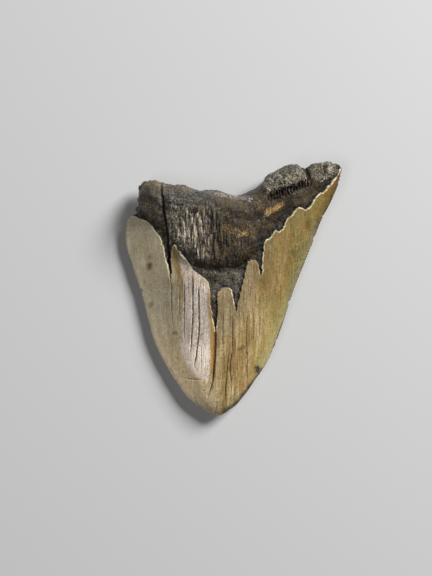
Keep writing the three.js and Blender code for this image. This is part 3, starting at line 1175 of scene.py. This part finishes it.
def rootGround(tree, field):
    # dark stone; the ribs and grains that stand out are worn pale, and some parts are stained
    look = rootLook
    x, place, grain, ribbed = (field[name] for name in ("x", "place", "grain", "ribbed"))
    dark = mixed(fade(field["cloud"], 0.38, 0.62), look["black"], look["brown"])
    smooth = calc("SUBTRACT", 1, ribbed)
    standing = total(times(field["fibres"], ribbed), times(grain, smooth))
    standing = total(standing, times(field["relief"], 0.12))
    wornColour = mixed(fade(x, -16, -4), look["wornGrey"], look["wornBrown"])
    worn = times(fade(standing, 0.42, 0.6), fade(x, -20, 12, 0.85, 0.4), fade(x, -38, -32, 0.4, 1))
    mottling = times(
        fade(noise(place, 0.21, 4, 0.7), 0.52, 0.64),
        fade(grain, 0.42, 0.58),
        fade(x, -22, -6, 0.3, 1),
        0.7,
    )
    rust = times(painted(tree, "rust"), fade(grain, 0.4, 0.56))
    gold = total(painted(tree, "gold"), times(centred(field["sparkle"]), 3.5))
    return layered(
        dark,
        (worn, wornColour),
        (mottling, look["ochre"]),
        (rust, look["rust"]),
        (fade(gold, 0.52, 0.76), look["gold"]),
    )


def rootKnobs(tree, field, colour):
    # the knobs are black with grey specks, partly worn and partly painted glints, and smaller specks
    # and painted glints lie all over the root
    look = rootLook
    place, knob, sparkle = (field[name] for name in ("place", "knob", "sparkle"))
    patchy = fade(noise(place, 0.25, 3), 0.38, 0.58, -0.05, 0.01)
    specks = total(sparkle, patchy, times(field["relief"], 0.02))
    specks = times(knob, fade(specks, 0.47, 0.59), 0.8)
    salt = times(fade(sparkle, 0.56, 0.66), fade(noise(place, 0.2, 2), 0.4, 0.6), 0.5)
    glinting = times(painted(tree, "glint"), fade(field["grain"], 0.48, 0.6))
    return layered(
        colour,
        (times(knob, 0.75), look["black"]),
        (specks, look["knobGrey"]),
        (salt, look["wornGrey"]),
        (glinting, look["glint"]),
    )


def rootHollows(tree, field, colour):
    # painted shade darkens the hollows, the slits and the groove below the swelling, and the cracks
    # are dark
    look = rootLook
    grain = field["grain"]
    slits = total(painted(tree, "slits"), times(centred(field["fibres"]), 1.3))
    slits = times(fade(slits, 0.3, 0.6), slitWave(field["place"]), 1.2)
    hollowShade = fade(field["relief"], -2, -1, 1, 0)
    groove = times(painted(tree, "undercut"), 0.15)
    # painted shade in the deepest places
    deep = calc("MAXIMUM", slits, calc("MAXIMUM", hollowShade, groove))
    notched = total(painted(tree, "crackReach"), times(centred(grain), 1.2))
    crack = times(fade(notched, 0.6, 1.4, 1, 0), painted(tree, "crackTone"))
    recess = times(fade(field["y"], 8, 11, 1, 0), fade(grain, 0.4, 0.56), 0.27)
    return layered(
        colour,
        (times(deep, 0.75), look["black"]),
        (crack, look["black"]),
        (recess, look["wornGrey"]),
    )


def rootBrightness(field):
    look = rootLook
    x, y, knob = (field[name] for name in ("x", "y", "knob"))
    # painted shade on the root beside the raised edge of the enamel
    shadeBesideEnamel = times(fade(field["rootSide"], 0.3, 2.5, -0.55, 0), fade(x, -38, -32, 0, 1))
    # painted fill light on the ribs that face left
    fillLitLeftRibs = times(field["ribbed"], fade(x, -20, -8, 1.2, -0.15))
    leftLobe = times(fade(x, -40, -33, -0.34, 0), fade(y, 38, 44, 0, 1))
    leftBand = times(fade(x, -37, -33, 1, 0), fade(y, 34, 44, 1, 0), 0.6)
    topStrip = times(fade(x, -36, -33), fade(x, -14, -4, 1, 0), fade(y, 37, 42), -0.62)
    return total(
        1,
        times(centred(field["fine"]), look["fineContrast"]),
        # painted glints: brightness follows the sparkle pattern
        times(centred(field["sparkle"]), look["sparkleContrast"]),
        fade(x, -16, -6, 0, -0.27),
        times(knob, fade(x, 33, 39, 0, 0.25)),
        fade(x, 8, 16, 0, -0.08),
        shadeBesideEnamel,
        fillLitLeftRibs,
        leftLobe,
        leftBand,
        topStrip,
        times(knob, centred(noise(field["place"], 0.5, 3, 0.7)), 3),
    )


def root(tree, place, rootSide):
    field = rootPatterns(tree, place, rootSide)
    colour = rootHollows(tree, field, rootKnobs(tree, field, rootGround(tree, field)))
    colour = shade(colour, rootBrightness(field))
    grain = field["grain"]
    roughness = total(rootLook["roughness"], times(centred(grain), -0.7))
    height = total(
        times(field["fibres"], 0.4, field["ribbed"]),
        times(field["fine"], 0.22),
        times(grain, 0.6),
    )
    return colour, roughness, height


def makeToothMaterial():
    material = bpy.data.materials.new("fossilStone")
    material.use_nodes = True
    tree = material.node_tree
    shader = tree.nodes["Principled BSDF"]
    coordinates = newNode(tree, "ShaderNodeTexCoord").outputs["Object"]
    place = stretch(coordinates, (1 / mm, 1 / mm, 1 / mm))
    rootSide = painted(tree, "rootSide")
    onRoot = fade(rootSide, -0.1, 0.1)
    enamelColour, enamelRough, enamelHeight = enamel(tree, place, rootSide)
    rootColour, rootRough, rootHeight = root(tree, place, rootSide)
    colour = mixed(onRoot, enamelColour, rootColour)
    roughness = newNode(tree, "ShaderNodeMix", {0: onRoot, 2: enamelRough, 3: rootRough})
    height = newNode(tree, "ShaderNodeMix", {0: onRoot, 2: enamelHeight, 3: rootHeight})
    bump = newNode(tree, "ShaderNodeBump", {"Height": height.outputs[0], "Distance": mm})
    for name, socket in (
        ("Base Color", colour),
        ("Roughness", roughness.outputs[0]),
        ("Normal", bump.outputs["Normal"]),
    ):
        tree.links.new(socket, shader.inputs[name])
    return material


toothBase = makeToothBase()
print("tooth shaped:", len(toothBase.polygons), "triangles")
fossilStone = makeToothMaterial()
print("stone mixed:", len(fossilStone.node_tree.nodes), "nodes")
tooth = carveTooth(toothBase, fossilStone)
print("tooth carved:", len(tooth.data.polygons), "triangles")

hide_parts("tooth")
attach(tooth, "root")
